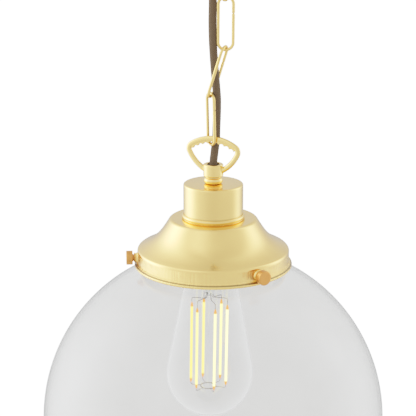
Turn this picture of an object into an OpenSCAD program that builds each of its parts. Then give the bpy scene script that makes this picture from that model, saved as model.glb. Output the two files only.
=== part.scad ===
// Pendant lamp: clear glass globe in a brass gallery, on a brass chain with a
// fabric-covered cable. Millimetres. Origin: centre of the ceiling face, +Z up.

/* [Globe] */
// Outer diameter of the glass globe
globe_d = 250; // [240:1:256]
// Wall thickness of the globe
globe_wall = 2.8; // [2:0.1:3.5]
// Distance from the ceiling down to the centre of the globe
globe_drop = 411; // [411:1:411]

/* [Gallery] */
// Outer radius of the upright skirt
skirt_r = 54.4; // [54:0.1:55]
// Sheet thickness of the spun brass
sheet = 0.9; // [0.7:0.1:1.1]
// Diameter of the rolled bead at the open edge
bead_d = 2.6; // [2:0.1:3]
// Number of thumb screws
screw_count = 3; // [3:1:3]
// Compass angle of the first thumb screw, from the front towards +X
screw_azimuth = 35; // [20:0.1:45]
// Diameter of the thumb screw's head
screw_head_d = 10.2; // [9:0.1:10.4]

/* [Holder] */
// Outer radius of the cup above the gallery
cup_r = 21; // [21:0.1:21.5]
// Height of the cup
cup_h = 25.3; // [25:0.1:26]
// Sideways offset of the lampholder in its clearance hole
holder_shift = -0.8; // [-0.8:0.1:0]
// Lean of the bulb in its thread
bulb_lean = 0.9; // [0:0.1:0.9]

/* [Chain] */
// Wire diameter of a chain link
wire_d = 2.1; // [1.9:0.05:2.1]
// Turn of the lower loop about the vertical
lower_loop_yaw = 22; // [18:1:24]
// Turn of the upper loop about the vertical
upper_loop_yaw = 15; // [12:1:18]

/* [Cable] */
// Diameter of the fabric-covered cable
cable_d = 5.8; // [5.4:0.1:5.8]

/* [Hidden] */

$fn = 96;
brass = "#d9bf6f";
bronze = "#c08a45";
steel = "#b8bcc0";
phenolic = "#25211f";
porcelain = "#f1efe8";

// Heights are measured up from the centre of the globe, then moved by this much
globe_z = -globe_drop;
globe_r = globe_d / 2;

// Thin clearances: a thread drawn as a plain fit, and a hairline between neighbours
thread_gap = 0.05;
hair = 0.02;

// Gallery levels and radii
lip_h = 117;
deck_h = 152.3;
deck_r = 29;
deck_hole_r = 18.85;
screw_h = 123.6;
bush_len = 2.6;
bush_r = 3.5;
neck_len = 0.9;
screw_neck_r = 2.5;
head_len = 4.6;
screw_r = 2.0;
tip_len = 2.6;

// Neck and flange of the globe
neck_r = 46;
flange_r = 50.6;
flange_low = 126.4;
flange_high = 130.6;
neck_fillet = 4;

// Threaded tubes
nipple_r = 4.95;
nipple_bore_r = 4.0;
nut_af = 14;
nut_t = 3;

// Loop: a boss with two arms and a long arc, seat at height 0, arc at the top
boss_r = 7.1;
boss_h = 9.35;
boss_bore_r = 4.6;
seat_depth = 5;
bar_w = 4.0;
bar_t = 3.0;
arc_r = 30.4;
arc_centre_z = -2.4;
corner_x = 14.3;
corner_r = 4.2;
corner_z = arc_centre_z + sqrt((arc_r - corner_r)^2 - corner_x^2);
arm_slope = 44.4;
arm_len = 16.5;
comb_r = 27.1;
comb_t = 2.4;
tooth_pitch = 8.6;
tooth_offset = 3.3;
collar_h = 4.3;
lower_seat_h = deck_h + cup_h + collar_h;
upper_seat_h = 368.1;
rose_deck_h = upper_seat_h + collar_h;

// Chain link: centre-line length and half width, and the slit of its butt joint
link_len = 36.9;
link_half = 5.15;
joint_gap = 0.25;

// Each link: lowest point of the wire's centre-line, where its top leans to, and its turn
links = [
    [[8.6, 0.6, 307.5], [-8.0, -0.3], -60],
    [[8.4, 0.6, 272.9], [0.2, 0], 0],
    [[-2.4, 0.7, 239.9], [10.8, -0.1], -68],
    [[-1.3, 0.95, 205.45], [-0.8, 0.05], 63]];

// Cable route, from inside the cup up to the rose: x, y, height
cable_route = [
    [0, 0, 172], [0, 0, 180], [0, 0.4, 186], [0, 1.3, 192], [0.95, 3.5, 200], [1.9, 4.95, 208.5],
    [2.2, 4.3, 217], [2.5, 2.9, 227], [2.55, 1.4, 239], [1.7, 1.0, 250], [0.6, 1.5, 263],
    [-0.3, 2.4, 277], [-0.7, 2.9, 291], [-0.5, 3.3, 307], [-0.9, 3.9, 321],
    [-1.35, 4.85, 334], [-1.4, 5.2, 342.5], [-0.9, 3.9, 350], [-0.1, 1.8, 357],
    [0, 0.6, 363.5], [0, 0, 370], [0, 0, 384], [0, 0, 396]];

// Ceiling rose and bracket
rose_r = 52;
rose_skirt = 13;
ear_x = 44;
ear_w = 20;
bracket_t = 2;
web_x = 24;
bracket_y = 20;
plate_z = -20;
slot_x = 34;
slot_len = 12;
slot_r = 2.3;
block = [25, 13, 11];
block_y = 20;
pole_pitch = 8;
pole_z = plate_z + 5.2;
earth_y = -15.5;

// Lampholder
holder_r = 18;
holder_low = 121;
holder_top = 172.2;
flange_t = 2;
holder_wall = 3;
hole_clear_r = 6.2;
shell_r = 13.45;
shell_wall = 0.45;
shell_low = 121.5;
shell_high = 142;
contact_h = 144.1;

// Bulb: round bottom, straight taper, neck
bulb_r = 32;
bulb_centre_h = 33.3;
taper = 10.8;
shoulder_h = 101;
cap_low = 118.6;
cap_r = 13.1;
bulb_pivot_h = 140;
filament_count = 6;
filament_ring_r = 13.1;
filament_low = 24.7;
filament_high = 86.6;
filament_r = 0.9;
filament_turn = 18.5;

// ---------- shared geometry ----------

// Points along an arc of radius r about [x, y], from angle a0 to a1
function arc(x, y, r, a0, a1, n) =
    [for (i = [0:n]) let (a = a0 + (a1 - a0) * i / n) [x + r * cos(a), y + r * sin(a)]];

// Points along a cubic curve
function curve(p, n) =
    [for (i = [0:n]) let (t = i / n, s = 1 - t)
        s^3 * p[0] + 3 * s^2 * t * p[1] + 3 * s * t^2 * p[2] + t^3 * p[3]];

// A line of points moved sideways by t, to the right of its direction
function inset(p, t) =
    [for (i = [0:len(p) - 1])
        let (d = p[min(i + 1, len(p) - 1)] - p[max(i - 1, 0)])
        p[i] + t / norm(d) * [d.y, -d.x]];

function reversed(p) = [for (i = [len(p) - 1:-1:0]) p[i]];

function without_first(p) = [for (i = [1:len(p) - 1]) p[i]];

// A thin revolved shell: the outer outline and the same outline moved inwards
module revolved_sheet(outline, t) {
    rotate_extrude() polygon(concat(outline, reversed(inset(outline, t))));
}

module ring(r_out, r_in, z0, z1) {
    rotate_extrude() translate([r_in, z0]) square([r_out - r_in, z1 - z0]);
}

// Places its children at a compass angle from the front, their +X pointing outwards
module at_azimuth(a) {
    rotate([0, 0, a - 90]) children();
}

module hex_nut(z) {
    translate([0, 0, z]) difference() {
        cylinder(h = nut_t, d = nut_af / cos(30), $fn = 6);
        translate([0, 0, -1]) cylinder(h = nut_t + 2, r = nipple_r + thread_gap);
    }
}

// Tube swept along a route: one ring of points at each route point, square to it
function unit(v) = v / norm(v);
function heading(p, i) = unit(p[min(i + 1, len(p) - 1)] - p[max(i - 1, 0)]);
function ring_points(c, h, r, sides) =
    let (u = unit(cross([0.6, 0.8, 0.05], h)), v = cross(h, u))
    [for (k = [0:sides - 1]) let (a = 360 * k / sides) c + r * (cos(a) * u + sin(a) * v)];

module swept_tube(p, r, sides) {
    n = len(p);
    points = [for (i = [0:n - 1]) each ring_points(p[i], heading(p, i), r, sides)];
    walls = [for (i = [0:n - 2], k = [0:sides - 1])
        let (a = i * sides + k, b = i * sides + (k + 1) % sides)
        each [[a, a + sides, b + sides], [a, b + sides, b]]];
    ends = [[for (k = [0:sides - 1]) k], [for (k = [sides - 1:-1:0]) (n - 1) * sides + k]];
    polyhedron(points, concat(walls, ends));
}

// ---------- ceiling rose ----------

module ceiling_bracket() {
    color(steel) difference() {
        union() {
            for (side = [-1, 1]) {
                translate([side * (ear_x - ear_w / 2), 0, -bracket_t / 2])
                    cube([ear_w, bracket_y, bracket_t], center = true);
                translate([side * (web_x + bracket_t / 2), 0, (plate_z - bracket_t) / 2])
                    cube([bracket_t, bracket_y, bracket_t - plate_z], center = true);
            }
            translate([0, 0, plate_z - bracket_t / 2])
                cube([2 * web_x + bracket_t, bracket_y, bracket_t], center = true);
            translate([-block.x / 2, 0, plate_z - bracket_t])
                cube([block.x, block_y + block.y / 2, bracket_t]);
            translate([-6, earth_y - 6, plate_z - bracket_t])
                cube([12, 6 - earth_y, bracket_t]);
        }
        translate([0, 0, plate_z - bracket_t - 1])
            cylinder(h = bracket_t + 2, r = nipple_r + thread_gap);
        translate([0, earth_y, plate_z - bracket_t - 1]) cylinder(h = bracket_t + 2, r = 1.6);
        for (side = [-1, 1]) translate([side * slot_x, 0, -bracket_t - 1]) {
            for (end = [-1, 1]) translate([end * (slot_len / 2 - slot_r), 0, 0])
                cylinder(h = bracket_t + 2, r = slot_r);
            translate([slot_r - slot_len / 2, -slot_r, 0])
                cube([slot_len - 2 * slot_r, 2 * slot_r, bracket_t + 2]);
        }
    }
}

module bracket_nuts() {
    color(steel) {
        hex_nut(plate_z);
        hex_nut(plate_z - bracket_t - nut_t);
    }
}

module threaded_tube(z0, z1) {
    difference() {
        translate([0, 0, z0]) cylinder(h = z1 - z0, r = nipple_r);
        translate([0, 0, z0 - 1]) cylinder(h = z1 - z0 + 2, r = nipple_bore_r);
    }
}

module rose_nipple() {
    color(steel) threaded_tube(globe_z + upper_seat_h - seat_depth + 0.2, plate_z + 4.5);
}

// Upright skirt at the ceiling, a rounded shoulder, an ogee and a flat deck below
module rose_cover() {
    deck_z = globe_z + rose_deck_h;
    outline = concat(
        [[rose_r, 0]],
        arc(rose_r - 4, -rose_skirt, 4, 0, -62, 6),
        curve([[43, -21.5], [33, -26], [31, -31], [24, -36.6]], 10),
        arc(19, deck_z + 4, 4, -62, -90, 3),
        [[nipple_r + 0.1, deck_z]]);
    color(brass) revolved_sheet(outline, sheet);
}

// Turned collar: a rounded bead with a groove above it, seat at z 0
module collar() {
    rotate_extrude() polygon(concat(
        arc(5.1, 1.75, 1.7, -88, 65, 8),
        [[5.6, 3.5], [5.6, collar_h], [nipple_r + 0.1, collar_h], [nipple_r + 0.1, 0]]));
}

module upper_collar() {
    color(brass) translate([0, 0, globe_z + rose_deck_h]) mirror([0, 0, 1]) collar();
}

// ---------- loop ----------

// Flat-sided bar section with round edges, centred on [x, 0]
module bar_section(x) {
    side = (bar_w - bar_t) / 2;
    for (s = [-1, 1]) translate([x + s * side, 0]) circle(d = bar_t, $fn = 32);
    translate([x - side, -bar_t / 2]) square([2 * side, bar_t]);
}

// Bent stretch of bar in the XZ plane about [x, z], from angle a0 to a1
module bent_bar(x, z, r, a0, a1) {
    translate([x, 0, z]) rotate([90, 0, 0]) rotate([0, 0, a0])
        rotate_extrude(angle = a1 - a0) bar_section(r);
}

module loop_arm() {
    start_angle = atan2(corner_z - arc_centre_z, corner_x);
    bent_bar(corner_x, corner_z, corner_r, -arm_slope, start_angle);
    translate([corner_x, 0, corner_z]) rotate([90, 0, 0]) rotate([0, 0, -arm_slope])
        rotate([90, 0, 0]) linear_extrude(arm_len) bar_section(corner_r);
}

// Comb of scallops under the long arc, which keeps the chain link centred
module loop_comb() {
    translate([0, 0, arc_centre_z]) rotate([90, 0, 0]) difference() {
        translate([0, 0, -comb_t / 2]) rotate([0, 0, 60])
            rotate_extrude(angle = 60) translate([comb_r, 0]) square([2, comb_t]);
        for (k = [-3:3]) rotate([0, 0, 90 + tooth_offset + k * tooth_pitch])
            translate([comb_r - 0.3, 0, -comb_t]) cylinder(h = 2 * comb_t, r = 1.7, $fn = 24);
    }
}

// The whole loop, its seat at z 0 and the arc above
module loop() {
    start_angle = atan2(corner_z - arc_centre_z, corner_x);
    difference() {
        union() {
            bent_bar(0, arc_centre_z, arc_r, start_angle, 180 - start_angle);
            loop_comb();
            loop_arm();
            mirror([1, 0, 0]) loop_arm();
            rotate_extrude() polygon([[0, 0.4], [boss_r - 0.4, 0], [boss_r, 0.4],
                [boss_r, boss_h - 0.8], [boss_r - 0.8, boss_h], [0, boss_h]]);
        }
        translate([0, 0, -1]) cylinder(h = boss_h + 20, r = boss_bore_r);
        translate([0, 0, -1]) cylinder(h = seat_depth + 1, r = nipple_r + thread_gap);
    }
}

module upper_loop() {
    color(brass) translate([0, 0, globe_z + upper_seat_h]) rotate([0, 0, -upper_loop_yaw])
        mirror([0, 0, 1]) loop();
}

module lower_loop() {
    color(brass) translate([0, 0, globe_z + lower_seat_h]) rotate([0, 0, -lower_loop_yaw])
        loop();
}

// ---------- terminals in the rose ----------

module terminal_block() {
    color(porcelain) difference() {
        translate([-block.x / 2, block_y - block.y / 2, plate_z]) cube(block);
        for (k = [-1:1]) translate([k * pole_pitch, 0, pole_z]) {
            translate([0, block_y, 0]) rotate([90, 0, 0])
                cylinder(h = block.y + 2, r = 2.65, center = true);
            translate([0, block_y, 0]) cylinder(h = block.z, r = 1.8);
        }
    }
}

module terminal_tubes() {
    color(brass) for (k = [-1:1]) translate([k * pole_pitch, block_y, pole_z]) difference() {
        rotate([90, 0, 0]) cylinder(h = block.y - 2, r = 2.6, center = true);
        rotate([90, 0, 0]) cylinder(h = block.y, r = 1.5, center = true);
        cylinder(h = block.z, r = 1.3);
    }
}

module terminal_screws() {
    color(steel) for (k = [-1:1]) translate([k * pole_pitch, block_y, pole_z]) difference() {
        translate([0, 0, 1.7]) cylinder(h = 3.2, r = 1.25);
        translate([-2, -0.25, 4.3]) cube([4, 0.5, 1]);
    }
}

module earth_screw() {
    color(brass) translate([0, earth_y, 0]) difference() {
        union() {
            translate([0, 0, plate_z - 5]) cylinder(h = 6.5, r = 1.55);
            translate([0, 0, plate_z + 1.2]) cylinder(h = 1.8, r = 3);
        }
        translate([-4, -0.4, plate_z + 2.2]) cube([8, 0.8, 2]);
    }
}

module earth_tag() {
    color(brass) difference() {
        union() {
            translate([0, earth_y, plate_z]) cylinder(h = 1, r = 3.6);
            translate([-1.4, earth_y, plate_z]) cube([2.8, 7, 1]);
        }
        translate([0, earth_y, plate_z - 1]) cylinder(h = 3, r = 1.65);
    }
}

core_r = 1.1;
sheath_end = cable_route[len(cable_route) - 1].z + globe_z;

module rose_live_core() {
    color("#7a4a2a") swept_tube([[-1.3, 0.75, sheath_end + hair], [-1.3, 0.75, sheath_end + 1.8],
        [-3.2, 3, sheath_end + 4], [-5.6, 6, sheath_end + 4.6], [-7.2, 9, sheath_end + 3],
        [-8, 12.2, pole_z + 0.3], [-8, 16, pole_z]], core_r, 8);
}

module rose_neutral_core() {
    color("#3f6fb0") swept_tube([[1.3, 0.75, sheath_end + hair], [1.3, 0.75, sheath_end + 1.8],
        [3.2, 3, sheath_end + 4], [5.6, 6, sheath_end + 4.6], [7.2, 9, sheath_end + 3],
        [8, 12.2, pole_z + 0.3], [8, 16, pole_z]], core_r, 8);
}

module rose_earth_core() {
    color("#8aa63c") swept_tube([[0, -1.5, sheath_end + hair], [0, -1.5, sheath_end + 2.2],
        [0, -3.8, sheath_end + 4.4], [0, -7, sheath_end + 3.6],
        [0, -8.6, sheath_end + 0.5], [0, -8.9, plate_z + 1.1]], core_r, 8);
}

// ---------- cable and chain ----------

module cable() {
    color("#75604a") swept_tube([for (p = cable_route) p + [0, 0, globe_z]], cable_d / 2, 10);
}

// Half of a link in the XZ plane: one straight side and the round end below it
module link_half_ring() {
    straight = link_len - 2 * link_half;
    translate([0, 0, link_half]) rotate([90, 0, 0]) rotate([0, 0, 180])
        rotate_extrude(angle = 180) translate([link_half, 0]) circle(d = wire_d, $fn = 32);
    translate([link_half, 0, link_half]) cylinder(h = straight, d = wire_d, $fn = 32);
}

// The whole link, its lowest centre-line point at the origin, with the wire's butt joint
module link_ring(butt_h) {
    difference() {
        union() {
            link_half_ring();
            translate([0, 0, link_len]) rotate([0, 180, 0]) link_half_ring();
        }
        translate([link_half, 0, butt_h]) ring(wire_d, wire_d / 2 - 0.3, 0, joint_gap);
    }
}

// Puts a link with its foot at p, its top leaning by [dx, dy] and its plane turned by yaw
module placed_link(p, lean, yaw) {
    tilt = asin(norm(lean) / link_len);
    way = atan2(lean.y, lean.x);
    translate(p + [0, 0, globe_z]) rotate([0, 0, way]) rotate([0, tilt, 0])
        rotate([0, 0, -way - yaw]) link_ring(link_len * 0.68);
}

module chain_link(k) {
    color(brass) placed_link(links[k][0], links[k][1], links[k][2]);
}

module chain_link_0() { chain_link(0); }
module chain_link_1() { chain_link(1); }
module chain_link_2() { chain_link(2); }
module chain_link_3() { chain_link(3); }

// ---------- cup and gallery ----------

module lower_collar() {
    color(brass) translate([0, 0, globe_z + deck_h + cup_h]) collar();
}

module holder_cup() {
    top = cup_h;
    outline = concat([[cup_r, 0]], arc(cup_r - 1.3, top - 1.3, 1.3, 0, 90, 5),
        [[nipple_r + 0.1, top]]);
    color(brass) translate([0, 0, globe_z + deck_h]) revolved_sheet(outline, -1);
}

// Half-round bead ring around the foot of the cup
module cup_ring() {
    color(brass) translate([0, 0, globe_z + deck_h]) rotate_extrude()
        polygon(concat([[cup_r + hair, hair]], arc(cup_r + 0.7, 1.5 + hair, 1.5, -90, 90, 10),
            [[cup_r + hair, 3.4]]));
}

function gallery_outline() = concat(
    [[skirt_r, lip_h + bead_d / 2]],
    arc(skirt_r - 3.4, 128.1, 3.4, 0, 66, 6),
    curve([[49.6, 132.4], [39.4, 137.8], [37.6, 141.6], [32.4, 149.8]], 12),
    arc(29.1, deck_h - 3.2, 3.2, 30, 90, 5),
    [[deck_hole_r, deck_h]]);

module gallery() {
    color(brass) translate([0, 0, globe_z]) difference() {
        union() {
            revolved_sheet(gallery_outline(), -sheet);
            rotate_extrude() translate([skirt_r + 0.9, lip_h + bead_d / 2])
                circle(d = bead_d, $fn = 32);
        }
        for (k = [0:screw_count - 1]) at_azimuth(screw_azimuth + 120 * k)
            translate([skirt_r - 3, 0, screw_h]) rotate([0, 90, 0])
                cylinder(h = 6, r = screw_r + 0.1);
    }
}

// Threaded bushes brazed on the skirt, each with a turned groove
module screw_bushes() {
    color(brass) translate([0, 0, globe_z])
        for (k = [0:screw_count - 1]) at_azimuth(screw_azimuth + 120 * k)
            translate([skirt_r - 0.3, 0, screw_h]) rotate([0, 90, 0]) difference() {
                union() {
                    cylinder(h = bush_len + 0.3, r = bush_r - 0.35);
                    cylinder(h = 1.5, r = bush_r);
                    translate([0, 0, 1.8]) cylinder(h = 0.9, r = bush_r);
                }
                translate([0, 0, -1]) cylinder(h = bush_len + 2, r = screw_r + thread_gap);
            }
}

// Thumb screw with a drum head; its shank ends in a sleeve that meets the glass
module thumb_screw(k) {
    color(bronze) translate([0, 0, globe_z]) at_azimuth(screw_azimuth + 120 * k)
        translate([skirt_r + bush_len, 0, screw_h]) rotate([0, 90, 0]) {
            translate([0, 0, -8]) cylinder(h = 8 + neck_len + 0.1, r = screw_r);
            translate([0, 0, -8 - 1.6]) cylinder(h = 1.7, r = 1.0);
            translate([0, 0, 0.1]) cylinder(h = neck_len, r = screw_neck_r);
            translate([0, 0, neck_len]) rotate_extrude() polygon([[0, 0],
                [screw_head_d / 2 - 0.4, 0], [screw_head_d / 2, 0.4],
                [screw_head_d / 2, head_len - 0.5], [screw_head_d / 2 - 0.5, head_len],
                [0, head_len]]);
        }
}

module thumb_screw_0() { thumb_screw(0); }
module thumb_screw_1() { thumb_screw(1); }
module thumb_screw_2() { thumb_screw(2); }

// Soft sleeve on the reduced end of a thumb screw
module screw_tip(k) {
    color("#e6e2d8") translate([0, 0, globe_z]) at_azimuth(screw_azimuth + 120 * k)
        translate([skirt_r + bush_len - 8 - hair, 0, screw_h]) rotate([0, -90, 0])
            difference() {
                cylinder(h = tip_len, r = screw_r);
                translate([0, 0, -1]) cylinder(h = 1 + 1.7, r = 1.0 + thread_gap);
            }
}

module screw_tip_0() { screw_tip(0); }
module screw_tip_1() { screw_tip(1); }
module screw_tip_2() { screw_tip(2); }

// ---------- lampholder ----------

module holder_nipple() {
    color(steel) translate([0, 0, globe_z])
        threaded_tube(166.5, lower_seat_h + seat_depth - 0.2);
}

// One nut under the cup's top, one clamping the holder from inside
module holder_nuts() {
    color(steel) translate([0, 0, globe_z]) {
        hex_nut(deck_h + cup_h - 1 - nut_t - hair);
        hex_nut(holder_top - 1.2 - nut_t - hair);
    }
}

module in_holder() {
    translate([holder_shift, 0, globe_z]) children();
}

module holder_body() {
    outline = concat([[holder_r, holder_low], [holder_r, holder_top - 8]],
        curve([[holder_r, holder_top - 7], [holder_r, holder_top - 2],
            [14, holder_top], [11, holder_top]], 6),
        [[hole_clear_r, holder_top]]);
    color(phenolic) in_holder() {
        revolved_sheet(outline, -1.2);
        ring(19.1, holder_r, deck_h + hair, deck_h + flange_t);
    }
}

// Insulating insert that carries the contacts
module holder_insert() {
    color(porcelain) in_holder() difference() {
        union() {
            ring(16.6, 14.1, 124, 146);
            translate([0, 0, 146]) cylinder(h = 8, r = 16.6);
        }
        for (side = [-1, 1]) translate([side * 10, 0, 145]) cylinder(h = 10, r = 1.9);
    }
}

module thread_shell() {
    color(brass) in_holder() {
        ring(shell_r + shell_wall, shell_r, shell_low, shell_high);
        ring(shell_r + shell_wall, 11, shell_high, shell_high + 0.5);
    }
}

// Sprung tongue that meets the foot of the bulb
module centre_contact() {
    color(brass) in_holder() {
        translate([-2, -3, 145]) cube([4, 11, 0.6]);
        translate([-2, 7, 145]) cube([4, 1, 1]);
    }
}

module contact_screws() {
    color(brass) in_holder() for (side = [-1, 1]) translate([side * 10, 0, 147]) difference() {
        union() {
            cylinder(h = 8, r = 1.8);
            translate([0, 0, 7.2]) cylinder(h = 1.6, r = 3);
        }
        translate([-4, -0.35, 8.2]) cube([8, 0.7, 2]);
    }
}

module holder_core(side) {
    start = cable_route[0].z;
    swept_tube([for (p = [[side * 1.3, 0, start - hair], [side * 1.3, 0, start - 4],
        [side * 2.0, 0, 164.5], [side * 3.6, 1.5, 161], [side * 5.4, 2.4, 158.6],
        [side * 6.6, 2.6, 157]]) p + [0, 0, globe_z]], core_r, 8);
}

module holder_live_core() { color("#7a4a2a") holder_core(-1); }
module holder_neutral_core() { color("#3f6fb0") holder_core(1); }

// Threaded ring that clamps the gallery's deck from below
module shade_ring() {
    color(phenolic) in_holder() difference() {
        ring(24.5, holder_r + thread_gap, deck_h - sheet - 4.6, deck_h - sheet - hair);
        for (k = [0:11]) rotate([0, 0, 30 * k]) translate([25, 0, deck_h - sheet - 6])
            cylinder(h = 8, r = 1.2, $fn = 24);
    }
}

// ---------- globe ----------

// Closed round bottom, short neck with a fillet, and a flange above the screws
module globe() {
    inner_r = globe_r - globe_wall;
    turn = acos((neck_r + neck_fillet) / (globe_r + neck_fillet));
    throat_r = neck_r - globe_wall;
    throat = acos(throat_r / inner_r);
    fillet_h = (globe_r + neck_fillet) * sin(turn);
    outside = concat(arc(0, 0, globe_r, -90, turn, 56),
        arc(neck_r + neck_fillet, fillet_h, neck_fillet, 180 + turn, 180, 5),
        [[neck_r, flange_low - 1.2]],
        [[neck_r + 1.2, flange_low]],
        arc(flange_r - 1.2, flange_low + 1.2, 1.2, -90, 0, 4),
        arc(flange_r - 1.2, flange_high - 1.2, 1.2, 0, 90, 4),
        arc(throat_r + 1, flange_high - 1, 1, 90, 180, 4));
    inside = arc(0, 0, inner_r, throat, -90, 56);
    color([0.8, 0.88, 0.9, 0.4]) translate([0, 0, globe_z]) rotate_extrude()
        polygon(concat(outside, inside));
}

// ---------- bulb ----------

module in_bulb() {
    translate([holder_shift, 0, globe_z + bulb_pivot_h]) rotate([0, bulb_lean, 0])
        translate([0, 0, -bulb_pivot_h]) children();
}

module bulb_cap() {
    thread = [for (i = [0:24]) [cap_r - 0.45 + 0.4 * cos(i * 72), cap_low + 2 + i * 0.72]];
    color(steel) in_bulb() rotate_extrude() polygon(concat(
        [[11.6, cap_low], [12.6, cap_low], [12.6, cap_low + 1.6]],
        thread,
        [[10.5, cap_low + 22], [9.5, cap_low + 22.6], [8.6, cap_low + 22.6],
            [8.6, cap_low + 21.4], [11.6, cap_low + 18.5]]));
}

module bulb_insulator() {
    color(phenolic) in_bulb() difference() {
        translate([0, 0, cap_low + 21.5]) cylinder(h = 2.9, r1 = 8.5, r2 = 5.4);
        translate([0, 0, cap_low + 20]) cylinder(h = 10, r = 4.2);
    }
}

module bulb_contact() {
    color(steel) in_bulb() translate([0, 0, cap_low + 22.4]) cylinder(h = 3, r = 4.15);
}

module bulb_glass() {
    low = arc(0, bulb_centre_h, bulb_r, -90, taper, 26);
    foot = low[len(low) - 1];
    shoulder = [foot.x - tan(taper) * (shoulder_h - foot.y), shoulder_h];
    neck = curve([shoulder, shoulder + 8 * [-sin(taper), cos(taper)],
        [12.4, cap_low - 9], [12.4, cap_low - 0.1]], 10);
    color([0.9, 0.95, 0.95, 0.3]) in_bulb() rotate_extrude()
        polygon(concat(low, neck, reversed(without_first(inset(concat(low, neck), -0.8))),
            [[0, bulb_centre_h - bulb_r + 0.8]]));
}

// Glass mount: a flare at the cap that narrows to a tube with a pinched foot
module bulb_stem() {
    color([0.9, 0.95, 0.95, 0.4]) in_bulb() rotate_extrude() polygon(concat(
        [[10.6, cap_low]], curve([[10.6, cap_low - 2], [8, cap_low - 6],
            [4.8, cap_low - 7], [4.6, cap_low - 14]], 8),
        [[4.6, 96], [3.2, 93.4], [0, 93]],
        [[0, cap_low]]));
}

// Places its children on one of the filaments, their +X pointing away from the bulb's axis
module at_filament(k) {
    in_bulb() rotate([0, 0, filament_turn + 60 * k - 90]) children();
}

// Level wire from one radius to another
module spoke(r0, r1, h) {
    translate([r0, 0, h]) rotate([0, 90, 0]) cylinder(h = r1 - r0, r = 0.26, $fn = 24);
}

module post(r, z0, z1) {
    translate([r, 0, z0]) cylinder(h = z1 - z0, r = 0.32, $fn = 24);
}

// Lead wires above, support wires below, and the wire ring between them
module filament_wires() {
    color(steel) {
        for (k = [0:filament_count - 1]) at_filament(k) {
            top = k % 2 == 0 ? 90.4 : 91.8;
            post(filament_ring_r, filament_high + hair, top + 0.4);
            spoke(3.9, filament_ring_r, top);
            post(3.9, top - 0.4, 93.3);
            post(filament_ring_r, filament_low - 2.4, filament_low - hair);
            spoke(5.6, filament_ring_r, filament_low - 2);
        }
        in_bulb() translate([0, 0, filament_low - 2]) rotate_extrude() translate([5.6, 0])
            circle(r = 0.45, $fn = 24);
    }
}

module filaments() {
    span = filament_high - filament_low;
    color("#ffe79a") for (k = [0:filament_count - 1]) at_filament(k)
        translate([filament_ring_r, 0, filament_low]) {
            translate([0, 0, 2.4]) cylinder(h = span - 4.8, r = filament_r, $fn = 24);
            cylinder(h = 2.4, r1 = 0.5, r2 = filament_r, $fn = 24);
            translate([0, 0, span - 2.4]) cylinder(h = 2.4, r1 = filament_r, r2 = 0.5, $fn = 24);
        }
}

ceiling_bracket();
bracket_nuts();
rose_nipple();
rose_cover();
upper_collar();
upper_loop();
terminal_block();
terminal_tubes();
terminal_screws();
earth_screw();
earth_tag();
rose_live_core();
rose_neutral_core();
rose_earth_core();
cable();
chain_link_0();
chain_link_1();
chain_link_2();
chain_link_3();
lower_loop();
lower_collar();
holder_cup();
cup_ring();
gallery();
screw_bushes();
holder_nipple();
holder_nuts();
holder_body();
holder_insert();
thread_shell();
centre_contact();
contact_screws();
holder_live_core();
holder_neutral_core();
shade_ring();
globe();
screw_tip_0();
thumb_screw_0();
screw_tip_1();
thumb_screw_1();
screw_tip_2();
thumb_screw_2();
bulb_cap();
bulb_insulator();
bulb_contact();
bulb_glass();
bulb_stem();
filament_wires();
filaments();
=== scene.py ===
"""Looks of the chain-hung globe lamp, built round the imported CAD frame.

Lengths are in mm and heights are above the globe's centre. The camera's and the studio's are
in metres, in the row frame, whose origin is in the ceiling's plane."""

import math

import bpy
import numpy as np
from mathutils import Matrix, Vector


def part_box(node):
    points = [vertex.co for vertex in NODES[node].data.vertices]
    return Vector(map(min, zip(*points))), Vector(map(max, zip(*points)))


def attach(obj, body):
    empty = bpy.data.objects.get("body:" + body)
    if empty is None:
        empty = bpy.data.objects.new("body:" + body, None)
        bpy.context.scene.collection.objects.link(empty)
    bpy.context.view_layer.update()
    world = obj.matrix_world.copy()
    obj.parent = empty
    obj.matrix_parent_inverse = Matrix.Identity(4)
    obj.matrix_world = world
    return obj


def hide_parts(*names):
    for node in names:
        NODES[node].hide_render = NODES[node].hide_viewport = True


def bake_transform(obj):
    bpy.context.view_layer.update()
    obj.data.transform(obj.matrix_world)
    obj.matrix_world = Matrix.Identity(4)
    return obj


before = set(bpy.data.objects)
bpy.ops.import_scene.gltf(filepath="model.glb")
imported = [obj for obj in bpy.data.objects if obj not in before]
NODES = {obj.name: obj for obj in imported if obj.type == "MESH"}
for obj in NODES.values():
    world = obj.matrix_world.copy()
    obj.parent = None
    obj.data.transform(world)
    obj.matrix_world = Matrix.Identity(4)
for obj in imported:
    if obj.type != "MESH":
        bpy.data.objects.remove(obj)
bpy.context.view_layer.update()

GLOBE_Z = -411.0  # height of the globe's centre in the row frame, mm
TAU = 2 * math.pi

# ---------------------------------------------------------------- camera, floor and light

CAMERA_BACK, CAMERA_UP = 1.0215, 0.0459
CAMERA_PITCH, CAMERA_YAW = 16.25, 0.21
FOCAL_PIXELS, FRAME_PIXELS, SENSOR = 1494, 416, 36


def make_camera():
    data = bpy.data.cameras.new("camera")
    data.sensor_width = SENSOR
    data.lens = FOCAL_PIXELS / FRAME_PIXELS * SENSOR
    data.clip_start, data.clip_end = 0.05, 200
    camera = bpy.data.objects.new("camera", data)
    camera.location = (0, -CAMERA_BACK, CAMERA_UP)
    camera.rotation_euler = (math.radians(90 - CAMERA_PITCH), 0, math.radians(CAMERA_YAW))
    bpy.context.scene.collection.objects.link(camera)
    bpy.context.scene.camera = camera


make_camera()

# ---------------------------------------------------------------- node helpers


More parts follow.
